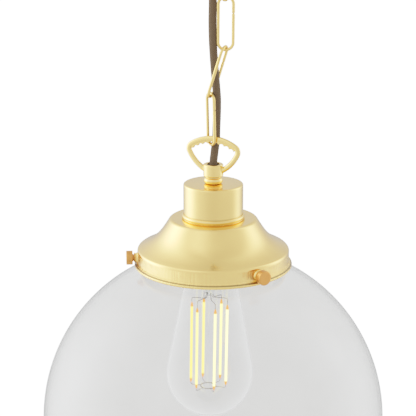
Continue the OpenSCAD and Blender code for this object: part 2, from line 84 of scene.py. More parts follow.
class Shader:
    """A node tree that is built one call at a time."""

    def __init__(self, tree):
        self.tree = tree
        tree.nodes.clear()

    def node(self, kind, inputs=None, **settings):
        n = self.tree.nodes.new("ShaderNode" + kind)
        for key, value in settings.items():
            setattr(n, key, value)
        for key, value in (inputs or {}).items():
            if isinstance(value, bpy.types.NodeSocket):
                self.tree.links.new(value, n.inputs[key])
            else:
                n.inputs[key].default_value = value
        return n

    def math(self, operation, a, b=0.0, c=0.0):
        return self.node("Math", {0: a, 1: b, 2: c}, operation=operation).outputs[0]

    def coords(self):
        return self.node("TexCoord").outputs["Object"]

    def noise(self, vector, scale, detail, rough=0.55):
        n = self.node("TexNoise", {"Vector": vector, "Scale": scale, "Detail": detail,
                                   "Roughness": rough})
        return n.outputs["Fac"]

    def spread(self, value, low, high, source=(0.3, 0.7)):
        n = self.node("MapRange", {"Value": value, "From Min": source[0], "From Max": source[1],
                                   "To Min": low, "To Max": high})
        return n.outputs[0]

    def mix(self, factor, a, b):
        n = self.node("Mix", data_type="RGBA")
        for index, value in ((0, factor), (6, a), (7, b)):
            if isinstance(value, bpy.types.NodeSocket):
                self.tree.links.new(value, n.inputs[index])
            else:
                n.inputs[index].default_value = value
        return n.outputs[2]

    def combine(self, x, y, z=0.0):
        return self.node("CombineXYZ", {0: x, 1: y, 2: z}).outputs[0]

    def bump(self, height, strength, distance, normal=None):
        inputs = {"Height": height, "Strength": strength, "Distance": distance}
        if normal is not None:
            inputs["Normal"] = normal
        return self.node("Bump", inputs).outputs[0]

    def output(self, surface):
        self.node("OutputMaterial", {"Surface": surface})


def new_material(name):
    m = bpy.data.materials.new(name)
    m.use_nodes = True
    return m, Shader(m.node_tree)


def rgba(r, g, b):
    return (r, g, b, 1.0)


def shade(colour, k):
    return rgba(*(min(1.0, c * k) for c in colour[:3]))


# ---------------------------------------------------------------- materials

BRASS = rgba(0.95, 0.66, 0.225)
STREAK_TOP = 128.0  # the skirt is brushed upright below this height, mm
THREADS = 16  # threads each way round the cable's braid
THREAD_PITCH = 1 / 0.62  # mm along the cable from one thread to the next


def brass_material(name, base=BRASS, rough=0.2, lines=0.0, streaks=0.0, marks=0.0, crease_shade=(),
                   coat=0.25):
    """Lacquered brass. lines are turning marks round the axis, streaks are upright ones, and each
    listed crease gets painted shade, a darker colour, with its height and how dark it is."""
    m, s = new_material(name)
    at = s.coords()
    cloud = s.noise(at, 38, 3)
    fine = s.noise(at, 900, 3)
    colour = s.mix(s.spread(cloud, 0.0, 1.0), shade(base, 0.94), shade(base, 1.04))
    colour = s.mix(s.spread(fine, 0.0, 0.1), colour, shade(base, 0.86))
    roughness = s.math("ADD", s.spread(cloud, rough * 0.85, rough * 1.2),
                       s.spread(fine, -0.01, 0.015))
    normal = s.bump(fine, 0.015, 0.0002)
    x, y, z = s.node("SeparateXYZ", {0: at}).outputs
    angle = s.math("ARCTAN2", y, x)
    if lines:
        out = s.math("ADD", s.math("MULTIPLY", x, x), s.math("MULTIPLY", y, y))
        round_axis = s.combine(s.math("MULTIPLY", angle, 0.6), s.math("MULTIPLY", z, 900),
                               s.math("MULTIPLY", out, 9000))
        rings = s.noise(round_axis, 3.0, 5)
        normal = s.bump(rings, lines, 0.0002, normal)
        roughness = s.math("ADD", roughness, s.spread(rings, -0.03, 0.05))
    if streaks:
        upright = s.noise(s.combine(s.math("MULTIPLY", angle, 34), s.math("MULTIPLY", z, 6)),
                          1.0, 5, 0.75)
        fade = (STREAK_TOP + GLOBE_Z) / 1000
        low = s.spread(z, streaks, 0.0, (fade - 0.0004, fade))
        normal = s.bump(upright, low, 0.0006, normal)
        tint = s.spread(upright, 0.0, 0.1, (0.45, 0.7))
        colour = s.mix(s.math("MULTIPLY", tint, low), colour, shade(base, 0.62))
    # Painted shade: the colour darkens to a dark brass about each crease's height, standing in
    # for the shade that falls in it.
    for crease_height, depth in crease_shade:
        off = s.math("ABSOLUTE", s.math("SUBTRACT", z, (crease_height + GLOBE_Z) / 1000))
        colour = s.mix(s.spread(off, depth, 0.0, (0.0002, 0.0006)), colour, shade(base, 0.2))
    if marks:
        nicks = s.noise(at, 260, 5, 0.75)
        normal = s.bump(nicks, marks, 0.0004, normal)
        roughness = s.math("ADD", roughness, s.spread(nicks, -0.05, 0.1))
    p = s.node("BsdfPrincipled", {
        "Base Color": colour, "Metallic": 1.0, "Roughness": roughness, "Normal": normal,
        "Coat Weight": coat, "Coat Roughness": 0.12, "Coat IOR": 1.45})
    s.output(p.outputs[0])
    return m


def plain_material(name, base, rough, metallic, grain, relief, vary=0.12, coat=0.0):
    """Moulded, plated or painted stock: clouded colour, fine relief, uneven gloss."""
    m, s = new_material(name)
    at = s.coords()
    cloud, fine = s.noise(at, grain * 0.12, 3), s.noise(at, grain, 4)
    colour = s.mix(s.spread(cloud, 0.0, 1.0), shade(base, 1 - vary), shade(base, 1 + vary * 0.6))
    colour = s.mix(s.spread(fine, 0.0, 0.3), colour, shade(base, 1 - vary * 1.6))
    uneven = s.math("ADD", s.math("MULTIPLY", cloud, 0.5), s.math("MULTIPLY", fine, 0.5))
    p = s.node("BsdfPrincipled", {
        "Base Color": colour, "Metallic": metallic,
        "Roughness": s.spread(uneven, rough * 0.8, rough * 1.2),
        "Normal": s.bump(fine, relief, 0.0002), "Coat Weight": coat})
    s.output(p.outputs[0])
    return m


def glass_material(name, tint, painted_edge_light=0.0, wave=0.0):
    """Clear glass. Shadow rays pass, so that what is inside is lit as through real glass, and
    a faint pale glow in its edges is painted light that stands for the room's light there."""
    m, s = new_material(name)
    at = s.coords()
    haze = s.noise(at, 55, 4)
    colour = s.mix(s.spread(haze, 0.0, 1.0), shade(tint, 0.985), tint)
    inputs = {"Color": colour, "Roughness": 0.0, "IOR": 1.46}
    if wave:
        inputs["Normal"] = s.bump(s.noise(at, 9.0, 2), wave, 0.002)
    glass = s.node("BsdfGlass", inputs)
    if painted_edge_light:
        # Painted light: a pale emission that grows towards the glass's edges.
        edge = s.math("POWER", s.node("LayerWeight", {"Blend": 0.5}).outputs["Facing"], 2.0)
        glow = s.node("Emission", {"Color": rgba(0.9, 0.95, 1.0),
                                   "Strength": s.math("MULTIPLY", edge, painted_edge_light)})
        glass = s.node("AddShader", {0: glass.outputs[0], 1: glow.outputs[0]})
    clear = s.node("BsdfTransparent", {"Color": shade(tint, 0.97)})
    path = s.node("LightPath")
    mixed = s.node("MixShader", {0: path.outputs["Is Shadow Ray"], 1: glass.outputs[0],
                                 2: clear.outputs[0]})
    s.output(mixed.outputs[0])
    return m


def braid_material(name):
    """Braided cotton over a flex: two families of threads, a darker ground, fuzz."""
    m, s = new_material(name)
    uv = s.node("UVMap").outputs[0]
    u, v, _ = s.node("SeparateXYZ", {0: uv}).outputs
    turns = s.math("MULTIPLY", u, THREADS)
    climb = s.math("MULTIPLY", v, 1000 / THREAD_PITCH)
    one = s.math("SINE", s.math("MULTIPLY", s.math("ADD", turns, climb), TAU))
    two = s.math("SINE", s.math("MULTIPLY", s.math("SUBTRACT", turns, climb), TAU))
    weave = s.math("MAXIMUM", one, two)
    fibre = s.noise(s.combine(s.math("MULTIPLY", u, 90.0), s.math("MULTIPLY", v, 2600.0)), 4, 4)
    dark, mid, pale = rgba(0.045, 0.026, 0.012), rgba(0.14, 0.087, 0.041), rgba(0.23, 0.15, 0.075)
    colour = s.mix(s.spread(weave, 0.0, 1.0, (-0.3, 1.0)), dark, mid)
    colour = s.mix(s.spread(fibre, 0.0, 0.55, (0.4, 0.8)), colour, pale)
    height = s.math("ADD", s.math("MULTIPLY", weave, 0.6), s.math("MULTIPLY", fibre, 0.6))
    p = s.node("BsdfPrincipled", {
        "Base Color": colour, "Roughness": 0.9, "Sheen Weight": 0.12, "Sheen Roughness": 0.5,
        "Normal": s.bump(height, 0.5, 0.0002)})
    s.output(p.outputs[0])
    return m


def filament_material(name):
    """Lit yellow phosphor, orange at the ends. Its first UV says how hot it is."""
    m, s = new_material(name)
    heat, v, _ = s.node("SeparateXYZ", {0: s.node("UVMap").outputs[0]}).outputs
    end = s.math("ABSOLUTE", s.math("SUBTRACT", v, 0.5))
    tip = s.spread(end, 0.0, 1.0, (0.445, 0.458))
    grain = s.noise(s.coords(), 1500, 2)
    glow = s.mix(heat, rgba(1.0, 0.84, 0.09), rgba(1.0, 0.9, 0.3))
    colour = s.mix(tip, glow, rgba(1.0, 0.33, 0.03))
    full = s.spread(heat, 3.8, 5.0, (0.0, 1.0))
    middle = s.math("MULTIPLY", full, s.math("SUBTRACT", 1.0, tip))
    strength = s.math("MULTIPLY", s.math("ADD", middle, s.math("MULTIPLY", tip, 2.4)),
                      s.spread(grain, 0.94, 1.05))
    light = s.node("Emission", {"Color": colour, "Strength": strength})
    s.output(light.outputs[0])
    return m


MAT = {
    # The dark lines at given heights on the cup, gallery and turned collars are painted shade in
    # their creases.
    "brass_cup": brass_material("brass_cup", rough=0.16, lines=0.06,
                                crease_shade=((156.0, 0.3),)),
    "brass_gallery": brass_material("brass_gallery", rough=0.16, lines=0.04, streaks=0.8,
                                    crease_shade=((119.4, 0.85),)),
    "brass_turned": brass_material("brass_turned", rough=0.14, lines=0.06,
                                   crease_shade=((182.75, 0.6), (367.25, 0.6))),
    "brass_cast": brass_material("brass_cast", rough=0.17, marks=0.12),
    "brass_chain": brass_material("brass_chain", shade(BRASS, 0.95), rough=0.27, marks=0.1,
                                  coat=0.0),
    "brass_part": brass_material("brass_part", rough=0.25, marks=0.1),
    "bronze": brass_material("bronze", rgba(0.72, 0.33, 0.085), rough=0.36, lines=0.15,
                             marks=0.15),
    "steel": plain_material("steel", rgba(0.6, 0.61, 0.62), 0.32, 1.0, 500, 0.15),
    "phenolic": plain_material("phenolic", rgba(0.02, 0.017, 0.015), 0.35, 0.0, 420, 0.2, 0.3,
                               coat=0.2),
    "porcelain": plain_material("porcelain", rgba(0.78, 0.76, 0.7), 0.3, 0.0, 240, 0.08, 0.04,
                                coat=0.5),
    "sleeve": plain_material("sleeve", rgba(0.75, 0.72, 0.62), 0.45, 0.0, 400, 0.1, 0.06),
    "core_brown": plain_material("core_brown", rgba(0.16, 0.06, 0.025), 0.4, 0, 500, 0.1),
    "core_blue": plain_material("core_blue", rgba(0.03, 0.11, 0.42), 0.4, 0, 500, 0.1),
    "core_green": plain_material("core_green", rgba(0.2, 0.38, 0.05), 0.4, 0, 500, 0.1),
    "cap_metal": plain_material("cap_metal", rgba(0.62, 0.62, 0.63), 0.28, 1.0, 450, 0.1),
    "lead": plain_material("lead", rgba(0.5, 0.47, 0.46), 0.35, 1.0, 700, 0.1),
    "globe_glass": glass_material("globe_glass", rgba(0.985, 0.985, 0.98), 0.1, 0.03),
    "bulb_glass": glass_material("bulb_glass", rgba(0.995, 0.995, 0.995), 0.3),
    "stem_glass": glass_material("stem_glass", rgba(0.97, 0.98, 0.98)),
    "braid": braid_material("braid"),
    "filament": filament_material("filament"),
}

# ---------------------------------------------------------------- mesh helpers


def metres(points):
    """Points in mm, with heights above the globe's centre, as row-frame metres."""
    p = np.array(points, float).reshape(-1, 3)
    return (p + [0, 0, GLOBE_Z]) / 1000


def piece(name, verts, faces, material, body, nodes, sharp=38, uv=None):
    """A new mesh object: verts in mm above the globe's centre."""
    mesh = bpy.data.meshes.new(name)
    mesh.from_pydata(metres(verts).tolist(), [], [list(f) for f in faces])
    mesh.validate()
    if uv is not None:
        layer = mesh.uv_layers.new(name="UVMap")
        flat = np.array([c for face in uv for c in face], np.float32)
        layer.data.foreach_set("uv", flat.ravel())
    mesh.shade_smooth()
    mesh.set_sharp_from_angle(angle=math.radians(sharp))
    mesh.materials.append(MAT[material])
    obj = bpy.data.objects.new(name, mesh)
    bpy.context.scene.collection.objects.link(obj)
    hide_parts(*nodes)
    if body:
        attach(obj, body)
    return obj


def arc(x, y, r, a0, a1, n):
    """n steps along a circle about (x, y), from angle a0 to a1 in degrees."""
    a = np.radians(np.linspace(a0, a1, n + 1))
    return [(x + r * math.cos(t), y + r * math.sin(t)) for t in a]


def cubic(p, n):
    """n steps along the cubic curve with the four control points p."""
    p = np.array(p, float)
    t = np.linspace(0, 1, n + 1)[:, None]
    s = 1 - t
    q = s**3 * p[0] + 3 * s**2 * t * p[1] + 3 * s * t**2 * p[2] + t**3 * p[3]
    return [tuple(v) for v in q]


def inset(points, t):
    """A line of points moved sideways by t, to the right of its direction."""
    p = np.array(points, float)
    d = np.empty_like(p)
    d[1:-1] = p[2:] - p[:-2]
    d[0], d[-1] = p[1] - p[0], p[-1] - p[-2]
    d /= np.linalg.norm(d, axis=1)[:, None]
    return [tuple(v) for v in p + t * np.stack([d[:, 1], -d[:, 0]], 1)]


def sheet_profile(outline, t):
    return list(outline) + inset(outline, t)[::-1]


def lathe(profile, segs):
    """A turned solid about the vertical axis: its closed profile of (radius, height) points."""
    p = [tuple(v) for v in profile]
    area = sum(a[0] * b[1] - b[0] * a[1] for a, b in zip(p, p[1:] + p[:1]))
    if area < 0:
        p.reverse()
    turn = [(math.cos(TAU * k / segs), math.sin(TAU * k / segs)) for k in range(segs)]
    verts, rows = [], []
    for r, h in p:
        if r < 1e-6:
            rows.append([len(verts)])
            verts.append((0.0, 0.0, h))
        else:
            rows.append(range(len(verts), len(verts) + segs))
            verts += [(r * c, r * s, h) for c, s in turn]
    faces = []
    for low, high in zip(rows, rows[1:] + rows[:1]):
        for k in range(segs):
            m = (k + 1) % segs
            ring = [low[k % len(low)], low[m % len(low)], high[m % len(high)],
                    high[k % len(high)]]
            face = list(dict.fromkeys(ring))
            if len(face) > 2:
                faces.append(face)
    return np.array(verts), faces


def turned(name, profile, material, body, nodes, segs, sharp=38, place=None):
    verts, faces = lathe(profile, segs)
    if place is not None:
        verts = place(verts)
    return piece(name, verts, faces, material, body, nodes, sharp)


def grid(rows, cols, wrap_rows=False, caps=True):
    """Faces of a net of rows by cols points, each row a closed ring."""
    faces = []
    for i in range(rows if wrap_rows else rows - 1):
        a, b = i * cols, ((i + 1) % rows) * cols
        for k in range(cols):
            m = (k + 1) % cols
            faces.append((a + k, a + m, b + m, b + k))
    if caps:
        faces.append(tuple(range(cols))[::-1])
        faces.append(tuple((rows - 1) * cols + k for k in range(cols)))
    return faces


def unit(v):
    v = np.asarray(v, float)
    return v / np.linalg.norm(v, axis=-1, keepdims=True)


def tangents(path):
    return unit(np.gradient(path, axis=0))


def sweep(path, section, sides_of):
    """A section carried along a path. sides_of gives each ring's first direction; the section
    is one list of (first, second) offsets, or one for each ring."""
    t = tangents(path)
    u = unit(sides_of - (sides_of * t).sum(1)[:, None] * t)
    w = np.cross(t, u)
    section = np.asarray(section, float)
    if section.ndim == 2:
        section = np.repeat(section[None], len(path), 0)
    verts = path[:, None] + section[..., :1] * u[:, None] + section[..., 1:] * w[:, None]
    return verts.reshape(-1, 3), grid(len(path), section.shape[1])


def carried_sides(path, start):
    """Directions square to a path that turn with it as little as they can."""
    t = tangents(path)
    out = [np.array(start, float)]
    for i in range(len(path)):
        u = out[-1] - out[-1].dot(t[i]) * t[i]
        out.append(u / np.linalg.norm(u))
    return np.array(out[1:])


def circle(r, n):
    a = np.arange(n) / n * TAU
    return np.stack([r * np.cos(a), r * np.sin(a)], 1)


def smooth_route(points, step):
    """A centripetal curve through the points, at even steps along its length."""
    p = np.array(points, float)
    q = np.vstack([2 * p[0] - p[1], p, 2 * p[-1] - p[-2]])
    out = []
    for i in range(1, len(q) - 2):
        p0, p1, p2, p3 = q[i - 1:i + 3]
        t0 = 0.0
        t1 = t0 + math.sqrt(np.linalg.norm(p1 - p0))
        t2 = t1 + math.sqrt(np.linalg.norm(p2 - p1))
        t3 = t2 + math.sqrt(np.linalg.norm(p3 - p2))
        for t in np.linspace(t1, t2, 24, endpoint=False):
            a1 = (t1 - t) / (t1 - t0) * p0 + (t - t0) / (t1 - t0) * p1
            a2 = (t2 - t) / (t2 - t1) * p1 + (t - t1) / (t2 - t1) * p2
            a3 = (t3 - t) / (t3 - t2) * p2 + (t - t2) / (t3 - t2) * p3
            b1 = (t2 - t) / (t2 - t0) * a1 + (t - t0) / (t2 - t0) * a2
            b2 = (t3 - t) / (t3 - t1) * a2 + (t - t1) / (t3 - t1) * a3
            out.append((t2 - t) / (t2 - t1) * b1 + (t - t1) / (t2 - t1) * b2)
    out.append(p[-1])
    out = np.array(out)
    s = np.concatenate([[0], np.cumsum(np.linalg.norm(np.diff(out, axis=0), axis=1))])
    at = np.linspace(0, s[-1], int(round(s[-1] / step)) + 1)
    return np.stack([np.interp(at, s, out[:, k]) for k in range(3)], 1), at


def join(parts):
    """Several lists of verts and faces as one."""
    verts, faces, count = [], [], 0
    for v, f in parts:
        verts.append(v)
        faces += [[i + count for i in face] for face in f]
        count += len(v)
    return np.vstack(verts), faces


def scratch(name, verts, faces):
    """A passing object, in mm, that modifiers work on."""
    mesh = bpy.data.meshes.new(name)
    mesh.from_pydata(verts.tolist(), [], faces)
    obj = bpy.data.objects.new(name, mesh)
    bpy.context.scene.collection.objects.link(obj)
    return obj


def baked(obj, *tools):
    """Verts and faces of a passing object after its modifiers. It and its tools are removed."""
    made = bpy.data.meshes.new_from_object(
        obj.evaluated_get(bpy.context.evaluated_depsgraph_get()))
    for used in (*tools, obj):
        bpy.data.objects.remove(used)
    co = np.zeros(len(made.vertices) * 3)
    made.vertices.foreach_get("co", co)
    return co.reshape(-1, 3), [tuple(p.vertices) for p in made.polygons]


# ---------------------------------------------------------------- cable

CABLE_R = 2.9
CABLE_ROUTE = [
    (0, 0, 172), (0, 0, 180), (0, 0.4, 186), (0, 1.3, 192), (0.95, 3.5, 200), (1.9, 4.95, 208.5),
    (2.2, 4.3, 217), (2.5, 2.9, 227), (2.55, 1.4, 239), (1.7, 1.0, 250), (0.6, 1.5, 263),
    (-0.3, 2.4, 277), (-0.7, 2.9, 291), (-0.5, 3.3, 307), (-0.9, 3.9, 321),
    (-1.35, 4.85, 334), (-1.4, 5.2, 342.5), (-0.9, 3.9, 350), (-0.1, 1.8, 357),
    (0, 0.6, 363.5), (0, 0, 370), (0, 0, 384), (0, 0, 396)]
# Heights where one stretch of the cable hands over to the next, and each stretch's two bodies
CABLE_CUTS = [172, 219.2, 255.1, 291, 327, 396]
CABLE_BODIES = [("lamp", "link_3"), ("link_3", "link_2"), ("link_2", "link_1"),
                ("link_1", "link_0"), ("link_0", "ceiling")]
CABLE_STEP, CABLE_SIDES = 0.32, 96
BRAID_SUNK, BRAID_HIGH = 0.1, 0.05  # how far the braid's middle is sunk, and its relief


def braid_relief(s, turn):
    """How far the braid stands proud at distance s and turn 0 to 1 round the cable, in mm."""
    one = np.sin(TAU * (THREADS * turn + s / THREAD_PITCH))
    two = np.sin(TAU * (THREADS * turn - s / THREAD_PITCH))
    return BRAID_HIGH * np.maximum(one, two)


def make_cable():
    sides = CABLE_SIDES
    path, s = smooth_route(CABLE_ROUTE, CABLE_STEP)
    side = carried_sides(path, (1, 0, 0))
    turn = np.arange(sides) / sides
    r = CABLE_R - BRAID_SUNK + braid_relief(s[:, None], turn[None])
    section = np.stack([r * np.cos(TAU * turn), r * np.sin(TAU * turn)], -1)
    for k, (near, far) in enumerate(CABLE_BODIES):
        i0 = int(np.argmin(abs(path[:, 2] - CABLE_CUTS[k])))
        i1 = int(np.argmin(abs(path[:, 2] - CABLE_CUTS[k + 1])))
        part = slice(i0, i1 + 1)
        verts, faces = sweep(path[part], section[part], side[part])
        rows = i1 - i0 + 1
        uv = [[((j + d) / sides, s[i0 + i + e] / 1000) for d, e in
               ((0, 0), (1, 0), (1, 1), (0, 1))]
              for i in range(rows - 1) for j in range(sides)]
        uv += [[(0.5, s[i0] / 1000)] * sides, [(0.5, s[i1] / 1000)] * sides]
        obj = piece(f"cable_{k}", verts, faces, "braid", None, ["cable"], uv=uv)
        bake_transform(obj)


make_cable()

# ---------------------------------------------------------------- chain

WIRE_R, LINK_LEN, LINK_HALF = 1.08, 36.9, 5.2
BUTT_H, BUTT_GAP = LINK_LEN * 0.68, 0.25
WANDER = 0.012  # how far the wire strays from its true line, mm
CUT_ENDS = (0.8, 0.97)  # the wire's thickness at the first rings from a cut end, for a chamfer
# Dents that the jaws left beside the joint: share of the way along the wire, and depth
JAW_DENTS = ((0.045, 0.05), (0.955, 0.08), (0.925, 0.04))
END_STEPS, SIDE_STEPS, STUB_STEPS = 40, 46, 14
# Foot, lean of the top, and turn of each link's plane
LINKS = [((8.6, 0.6, 307.5), (-8.0, -0.3), -60), ((8.4, 0.6, 272.9), (0.2, 0.0), 0),
         ((-2.4, 0.7, 239.9), (10.8, -0.1), -68), ((-1.3, 0.95, 205.45), (-0.8, 0.05), 63)]


def turn_z(degrees):
    return np.array(Matrix.Rotation(math.radians(degrees), 3, "Z"))


def turn_y(degrees):
    return np.array(Matrix.Rotation(math.radians(degrees), 3, "Y"))


def link_line():
    """Centre-line of a link in its own plane, from one face of the butt joint to the other."""
    half, top = LINK_HALF, LINK_LEN - LINK_HALF
    up = [(half, z) for z in np.linspace(BUTT_H + BUTT_GAP, top, STUB_STEPS)]
    over = arc(0, top, half, 0, 180, END_STEPS)
    down = [(-half, z) for z in np.linspace(top, half, SIDE_STEPS)]
    under = arc(0, half, half, 180, 360, END_STEPS)
    back = [(half, z) for z in np.linspace(half, BUTT_H, SIDE_STEPS)]
    line = np.array(up + over[1:] + down[1:] + under[1:] + back[1:])
    return np.stack([line[:, 0], np.zeros(len(line)), line[:, 1]], 1)


def make_link(k, foot, lean, yaw):
    rng = np.random.default_rng(40 + k)
    line = link_line()
    n = len(line)
    wander = np.cumsum(rng.normal(0, 1, (n, 2)), 0)
    wander -= np.linspace(0, 1, n)[:, None] * wander[-1]
    wander *= WANDER / abs(wander).max()
    line[:, :2] += wander
    radius = np.full(n, WIRE_R)
    from_end = np.minimum(np.arange(n), n - 1 - np.arange(n))
    for ring, share in enumerate(CUT_ENDS):
        radius[from_end == ring] = WIRE_R * share
    section = circle(1.0, 28)[None] * radius[:, None, None]
    for where, depth in JAW_DENTS:
        i = int(n * where)
        section[i - 1:i + 2, :, 0] *= 1 - depth
    verts, faces = sweep(line, section, np.repeat([[0.0, 1.0, 0.0]], n, 0))
    tilt = math.degrees(math.asin(math.hypot(*lean) / LINK_LEN))
    way = math.degrees(math.atan2(lean[1], lean[0]))
    verts = verts @ (turn_z(way) @ turn_y(tilt) @ turn_z(-way - yaw)).T + foot
    piece(f"chain_link_wire_{k}", verts, faces, "brass_chain", f"link_{k}",
          [f"chain_link_{k}"], 50)


for k, (foot, lean, yaw) in enumerate(LINKS):
    make_link(k, foot, lean, yaw)

# ---------------------------------------------------------------- cast loops

LOWER_SEAT, UPPER_SEAT = 181.9, 368.1
LOWER_YAW, UPPER_YAW = 22, 15
BAR_W, BAR_T = 4.0, 3.0
ARC_R, ARC_Z = 30.4, -2.4
CORNER_X, CORNER_R = 14.3, 4.2
CORNER_Z = ARC_Z + math.sqrt((ARC_R - CORNER_R)**2 - CORNER_X**2)
# The arm is a shallow bow between two angles of its own circle
ARM_R, ARM_TOP, ARM_END = 27.4, -25, -63
# The comb runs between two angles of the long arc, and TOOTH_PITCH and TOOTH_OFFSET are angles
COMB_R, COMB_ROOT, COMB_T, COMB_FROM, COMB_TO = 27.1, 30, 2.4, 55, 125
TOOTH_PITCH, TOOTH_OFFSET, BITE_R = 8.6, 3.3, 1.7
MIDDLE_BITE, OTHER_BITE = 0.3, 0.8  # how far the centre of a bite is sunk below COMB_R
BOSS_R, BOSS_H, BOSS_BORE, SEAT_BORE, SEAT_DEPTH = 7.1, 9.9, 4.6, 5.0, 5.0
COLLAR_LAP = 1.25  # how far the collar reaches up over the loop's seat
CAST_VOXEL, CAST_SMOOTHING = 0.22, 5


def loop_bar():
    """The bent bar: right arm, corner, long arc, corner and left arm."""
    a0 = math.degrees(math.atan2(CORNER_Z - ARC_Z, CORNER_X))
    reach, top = ARM_R - CORNER_R, math.radians(ARM_TOP)
    bend = arc(CORNER_X, CORNER_Z, CORNER_R, ARM_TOP, a0, 20)
    arm = arc(CORNER_X - reach * math.cos(top), CORNER_Z - reach * math.sin(top), ARM_R,
              ARM_END, ARM_TOP, 16)
    right = arm[:-1] + bend
    over = arc(0, ARC_Z, ARC_R, a0, 180 - a0, 60)
    left = [(-x, z) for x, z in right[::-1]]
    line = np.array(right + over[1:-1] + left)
    line = np.stack([line[:, 0], np.zeros(len(line)), line[:, 1]], 1)
    section = circle(1.0, 32) * [BAR_T / 2 + 0.1, BAR_W / 2]
    return sweep(line, section, np.repeat([[0.0, 1.0, 0.0]], len(line), 0))


def loop_comb():
    """Scallops under the long arc."""
    line = []
    for deg in np.linspace(COMB_FROM, COMB_TO, 211):
        k = round((deg - 90 - TOOTH_OFFSET) / TOOTH_PITCH)
        off = abs(math.radians(deg - 90 - TOOTH_OFFSET - k * TOOTH_PITCH))
        off *= COMB_R - MIDDLE_BITE
        # the link's wire sits in the middle bite, which is the deepest
        sunk = MIDDLE_BITE if k == 0 else OTHER_BITE
        bite = COMB_R - sunk + math.sqrt(max(0.0, BITE_R**2 - off**2))
        line.append((deg, max(COMB_R, bite)))
    verts = []
    for deg, r_in in line:
        c, s = math.cos(math.radians(deg)), math.sin(math.radians(deg))
        for r, y in ((r_in, -COMB_T / 2), (r_in, COMB_T / 2), (COMB_ROOT, COMB_T / 2),
                     (COMB_ROOT, -COMB_T / 2)):
            verts.append((r * c, y, ARC_Z + r * s))
    return np.array(verts), grid(len(line), 4)


def loop_boss():
    foot = COLLAR_LAP + 0.02
    outline = ([(SEAT_BORE, foot)] + arc(BOSS_R - 0.4, foot + 0.4, 0.4, -90, 0, 3)
               + arc(BOSS_R - 0.9, BOSS_H - 0.9, 0.9, 0, 90, 6)
               + arc(BOSS_BORE + 0.4, BOSS_H - 0.4, 0.4, 90, 180, 3)
               + [(BOSS_BORE, SEAT_DEPTH), (SEAT_BORE, SEAT_DEPTH)])
    return lathe(outline, 96)


def cast_loop():
    """Bar, comb and boss as one cast body with soft inner corners, its seat at height 0."""
    obj = scratch("loop", *join([loop_bar(), loop_comb(), loop_boss()]))
    remesh = obj.modifiers.new("cast", "REMESH")
    remesh.mode, remesh.voxel_size = "VOXEL", CAST_VOXEL
    soft = obj.modifiers.new("soft", "SMOOTH")
    soft.factor, soft.iterations = 0.5, CAST_SMOOTHING
    return baked(obj)


def make_loops():
    verts, faces = cast_loop()
    low = verts @ turn_z(-LOWER_YAW).T + [0, 0, LOWER_SEAT]
    high = (verts * [1, 1, -1]) @ turn_z(-UPPER_YAW).T + [0, 0, UPPER_SEAT]
    piece("lower_loop_cast", low, faces, "brass_cast", "lamp", ["lower_loop"], 60)
    upper = piece("upper_loop_cast", high, [f[::-1] for f in faces], "brass_cast", "ceiling",
                  ["upper_loop"], 60)
    # like the ceiling rose, it is too close here to show in the brass below
    upper.visible_glossy = False


make_loops()

# ---------------------------------------------------------------- collars, cup and gallery

DECK_H, CUP_H, CUP_R, CUP_TOP_R = 152.3, 25.3, 21.3, 1.3
COLLAR_H, NIPPLE_R = 4.3, 4.95
SKIRT_R, LIP_H, BEAD_R, SHEET = 54.4, 117.0, 1.3, 0.9
SCREW_H, HOLE_R = 123.6, 2.2
AZIMUTHS = [35 + 120 * k for k in range(3)]

collar_top = COLLAR_H + COLLAR_LAP
collar = ([(NIPPLE_R + 0.1, 0.05)]
          + [(r, 2.3 + 1.2 * (z - 1.9)) for r, z in arc(4.95, 1.9, 1.85, -85, 62, 16)]
          + [(5.6, 4.45), (5.6, collar_top), (NIPPLE_R + 0.1, collar_top)])
turned("lower_collar_turned", [(r, h + DECK_H + CUP_H) for r, h in collar], "brass_turned",
       "lamp", ["lower_collar"], 96)
turned("upper_collar_turned", [(r, UPPER_SEAT + COLLAR_H - h) for r, h in collar],
       "brass_turned", "ceiling", ["upper_collar"], 96)

cup = ([(CUP_R, DECK_H)]
       + arc(CUP_R - CUP_TOP_R, DECK_H + CUP_H - CUP_TOP_R, CUP_TOP_R, 0, 90, 10)
       + [(NIPPLE_R + 0.1, DECK_H + CUP_H)])
cup = [(CUP_R, h) for h in np.linspace(DECK_H, DECK_H + 23, 12)] + cup[1:]
turned("cup_spun", sheet_profile(cup, -1.0), "brass_cup", "lamp", ["holder_cup"], 200)

ring_profile = ([(CUP_R + 0.03, DECK_H + 0.03), (CUP_R + 0.5, DECK_H + 0.03)]
                + [(CUP_R + 0.15 + 1.1 * math.cos(t), DECK_H + 1.85 + 1.5 * math.sin(t))
                   for t in np.radians(np.linspace(-85, 80, 17))]
                + [(CUP_R + 0.3, DECK_H + 3.4), (CUP_R + 0.03, DECK_H + 3.4)])
turned("cup_bead", ring_profile, "brass_turned", "lamp", ["cup_ring"], 200)


def gallery_outline():
    return ([(SKIRT_R, h) for h in np.linspace(LIP_H + BEAD_R, 127.9, 9)]
            + arc(SKIRT_R - 2.0, 128.2, 2.0, 0, 62, 16)
            + cubic([(50.0, 131.6), (40.2, 136.9), (37.6, 141.6), (32.4, 149.8)], 36)
            + arc(29.1, DECK_H - 3.2, 3.2, 30, 90, 14)
            + [(24.0, DECK_H), (18.85, DECK_H)])


def cut_holes(verts, faces, cutters):
    """The mesh with straight round holes cut through it, in mm."""
    obj = scratch("body", verts, faces)
    tools = [scratch("tool", v, f) for v, f in cutters]
    for tool in tools:
        cut = obj.modifiers.new("cut", "BOOLEAN")
        cut.operation, cut.solver, cut.object = "DIFFERENCE", "EXACT", tool
    return baked(obj, *tools)


def outwards(azimuth):
    """Turns a lathe's axis to point out of the skirt at a compass angle from the front."""
    a = math.radians(azimuth)
    out = np.array([math.sin(a), -math.cos(a), 0.0])
    side = np.array([math.cos(a), math.sin(a), 0.0])
    return lambda v: v[:, 2:] * out + v[:, :1] * side + v[:, 1:2] * [0, 0, 1] + [0, 0, SCREW_H]


